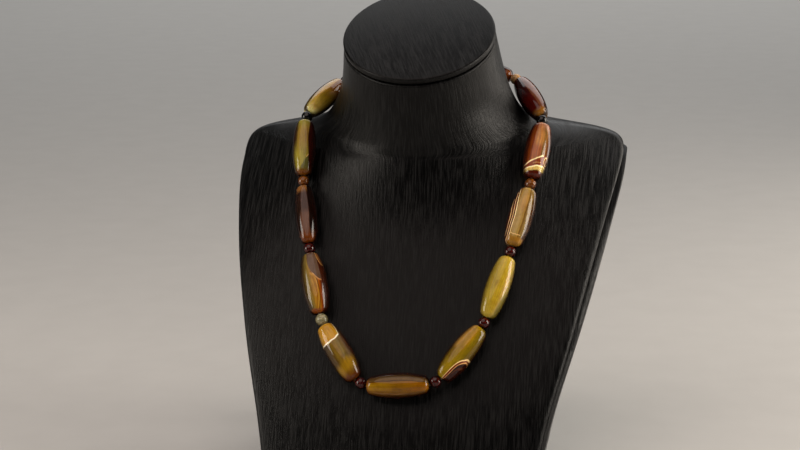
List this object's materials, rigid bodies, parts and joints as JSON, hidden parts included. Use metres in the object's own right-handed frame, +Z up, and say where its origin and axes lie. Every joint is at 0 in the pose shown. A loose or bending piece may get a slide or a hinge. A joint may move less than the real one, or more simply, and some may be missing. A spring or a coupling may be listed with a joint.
{
  "type": "agate bead necklace on neck bust",
  "caption": "Necklace of long barrel-shaped agate beads with small round beads between them, worn by a plain black neck bust with a slanted lid.",
  "frame": {"origin": "on the bench under the middle of the whole, where the bust stands", "axes": "+Z up, the chest faces -Y, +X is the viewer's right"},
  "size_m": [0.1926, 0.1414, 0.219],
  "materials": {
    "bust_cover": "satin",
    "agate_middle": "polished",
    "agate_right_1": "polished",
    "agate_right_2": "polished",
    "agate_right_3": "polished",
    "agate_right_4": "polished",
    "agate_right_5": "polished",
    "agate_right_6": "polished",
    "agate_left_1": "polished",
    "agate_left_2": "polished",
    "agate_left_3": "polished",
    "agate_left_4": "polished",
    "agate_left_5": "polished",
    "agate_left_6": "polished",
    "onyx_black": "polished",
    "carnelian_dark": "polished",
    "agate_amber_round": "polished",
    "agate_smoky_round": "polished",
    "jasper_tan": "polished",
    "clasp_metal": "satin",
    "thread": "matte"
  },
  "bodies": {
    "root": {"bust_front": "bust_cover", "bust_back": "bust_cover", "bust_lid": "bust_cover", "long_bead_middle": "agate_middle", "long_bead_right_1": "agate_right_1", "long_bead_right_2": "agate_right_2", "long_bead_right_3": "agate_right_3", "long_bead_right_4": "agate_right_4", "long_bead_right_5": "agate_right_5", "long_bead_right_6": "agate_right_6", "long_bead_left_1": "agate_left_1", "long_bead_left_2": "agate_left_2", "long_bead_left_3": "agate_left_3", "long_bead_left_4": "agate_left_4", "long_bead_left_5": "agate_left_5", "long_bead_left_6": "agate_left_6", "round_bead_right_1": "carnelian_dark", "round_bead_right_2": "carnelian_dark", "round_bead_right_3": "carnelian_dark", "round_bead_right_4": "agate_amber_round", "round_bead_right_5": "onyx_black", "round_bead_right_6": "jasper_tan", "round_bead_right_7": "carnelian_dark", "round_bead_right_8": "onyx_black", "round_bead_left_1": "carnelian_dark", "round_bead_left_2": "agate_smoky_round", "round_bead_left_3": "carnelian_dark", "round_bead_left_4": "agate_amber_round", "round_bead_left_5": "onyx_black", "round_bead_left_6": "carnelian_dark", "round_bead_left_7": "carnelian_dark", "round_bead_left_8": "onyx_black", "clasp": "clasp_metal", "thread": "thread"}
  },
  "joints": []
}
